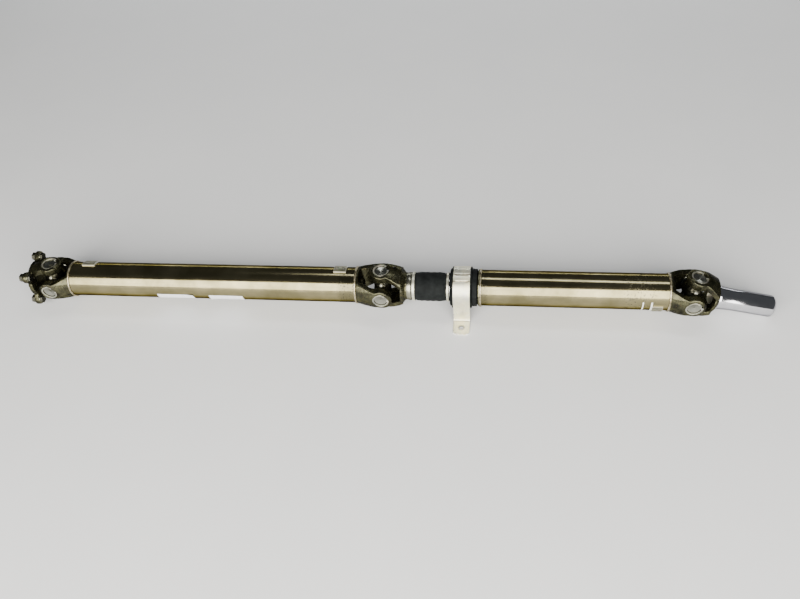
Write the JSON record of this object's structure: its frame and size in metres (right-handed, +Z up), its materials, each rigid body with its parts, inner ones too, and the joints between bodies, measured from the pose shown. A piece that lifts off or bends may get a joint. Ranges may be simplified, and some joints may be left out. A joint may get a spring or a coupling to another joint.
{
  "type": "universal joint shaft",
  "caption": "Long tubular drive shaft with universal joints, a booted slip spline, a centre bearing on a strap bracket, a bolt flange and a ground slip yoke.",
  "frame": {"origin": "under the middle of the whole part's box, on the plane of the bracket's feet", "axes": "+X along the shaft towards the gearbox slip yoke, +Z up from the bracket's feet"},
  "size_m": [1.3498, 0.1382, 0.091],
  "materials": {
    "tube_steel": "glossy, olive oil film",
    "slip_yoke_steel": "ground and polished",
    "forged_steel": "oiled forging, dark olive black",
    "zinc_strap": "pale zinc plate",
    "rubber": "matte black",
    "label_paper": "plain white, blank",
    "cap_steel": "bright",
    "zinc_small": "zinc plated",
    "bearing_steel": "ground"
  },
  "bodies": {
    "carrier": {"bracket": "zinc_strap", "rubber_cushion": "rubber", "bearing_housing": "forged_steel", "outer_race": "bearing_steel", "ball_ring": "bearing_steel"},
    "front_shaft": {"stub_shaft": "bearing_steel", "bearing_collar": "bearing_steel", "inner_race": "bearing_steel", "dust_shield_rear": "rubber", "dust_shield_front": "rubber", "front_tube": "tube_steel", "front_weld_yoke": "forged_steel", "balance_weight_front": "bearing_steel", "boot_clamp_front": "zinc_small", "front_cap_rear_a": "cap_steel", "front_cap_rear_b": "cap_steel", "front_snap_ring_rear_a": "zinc_small", "front_snap_ring_rear_b": "zinc_small"},
    "front_cross": {"front_cross": "forged_steel"},
    "slip_yoke": {"slip_yoke": "slip_yoke_steel", "slip_dust_plug": "zinc_small", "front_cap_front_a": "cap_steel", "front_cap_front_b": "cap_steel", "front_snap_ring_front_a": "zinc_small", "front_snap_ring_front_b": "zinc_small"},
    "sleeve": {"sleeve_yoke": "forged_steel", "boot": "rubber", "boot_clamp_rear": "zinc_small", "middle_cap_front_a": "cap_steel", "middle_cap_front_b": "cap_steel", "middle_snap_ring_front_a": "zinc_small", "middle_snap_ring_front_b": "zinc_small"},
    "middle_cross": {"middle_cross": "forged_steel"},
    "rear_shaft": {"rear_tube": "tube_steel", "middle_weld_yoke": "forged_steel", "rear_weld_yoke": "forged_steel", "balance_weight_rear": "bearing_steel", "balance_weight_middle": "bearing_steel", "label_long": "label_paper", "label_short": "label_paper", "middle_cap_rear_a": "cap_steel", "middle_cap_rear_b": "cap_steel", "middle_snap_ring_rear_a": "zinc_small", "middle_snap_ring_rear_b": "zinc_small", "rear_cap_front_a": "cap_steel", "rear_cap_front_b": "cap_steel", "rear_snap_ring_front_a": "zinc_small", "rear_snap_ring_front_b": "zinc_small"},
    "rear_cross": {"rear_cross": "forged_steel"},
    "flange": {"flange_yoke": "forged_steel", "flange_bolt_1": "zinc_small", "flange_bolt_2": "zinc_small", "flange_bolt_3": "zinc_small", "flange_bolt_4": "zinc_small", "rear_cap_rear_a": "cap_steel", "rear_cap_rear_b": "cap_steel", "rear_snap_ring_rear_a": "zinc_small", "rear_snap_ring_rear_b": "zinc_small"}
  },
  "joints": [
    {"name": "shaft_spin", "type": "hinge", "parent": "carrier", "child": "front_shaft", "pos_m": [0.1444, 0, 0.049], "axis": [1, 0, 0], "continuous": true},
    {"name": "front_cross_tilt", "type": "hinge", "parent": "front_shaft", "child": "front_cross", "pos_m": [0.5344, 0, 0.049], "axis": [0, 1, 0], "range_deg": [-30, 6]},
    {"name": "slip_yoke_swing", "type": "hinge", "parent": "front_cross", "child": "slip_yoke", "pos_m": [0.5344, 0, 0.049], "axis": [0.213, 0, 0.977], "range_deg": [-18, 18]},
    {"name": "spline_slide", "type": "slide", "parent": "front_shaft", "child": "sleeve", "axis": [1, 0, 0], "range_m": [-0.012, 0.012], "deforming": ["boot"]},
    {"name": "middle_cross_swing", "type": "hinge", "parent": "sleeve", "child": "middle_cross", "pos_m": [0.0019, 0, 0.049], "axis": [0, 0, 1], "range_deg": [-18, 18]},
    {"name": "rear_shaft_tilt", "type": "hinge", "parent": "middle_cross", "child": "rear_shaft", "pos_m": [0.0019, 0, 0.049], "axis": [0, 1, 0], "range_deg": [-18, 18]},
    {"name": "rear_cross_tilt", "type": "hinge", "parent": "rear_shaft", "child": "rear_cross", "pos_m": [-0.6251, 0, 0.049], "axis": [0, 1, 0], "range_deg": [-18, 18]},
    {"name": "flange_swing", "type": "hinge", "parent": "rear_cross", "child": "flange", "pos_m": [-0.6251, 0, 0.049], "axis": [0, 0, 1], "range_deg": [-18, 18]}
  ]
}
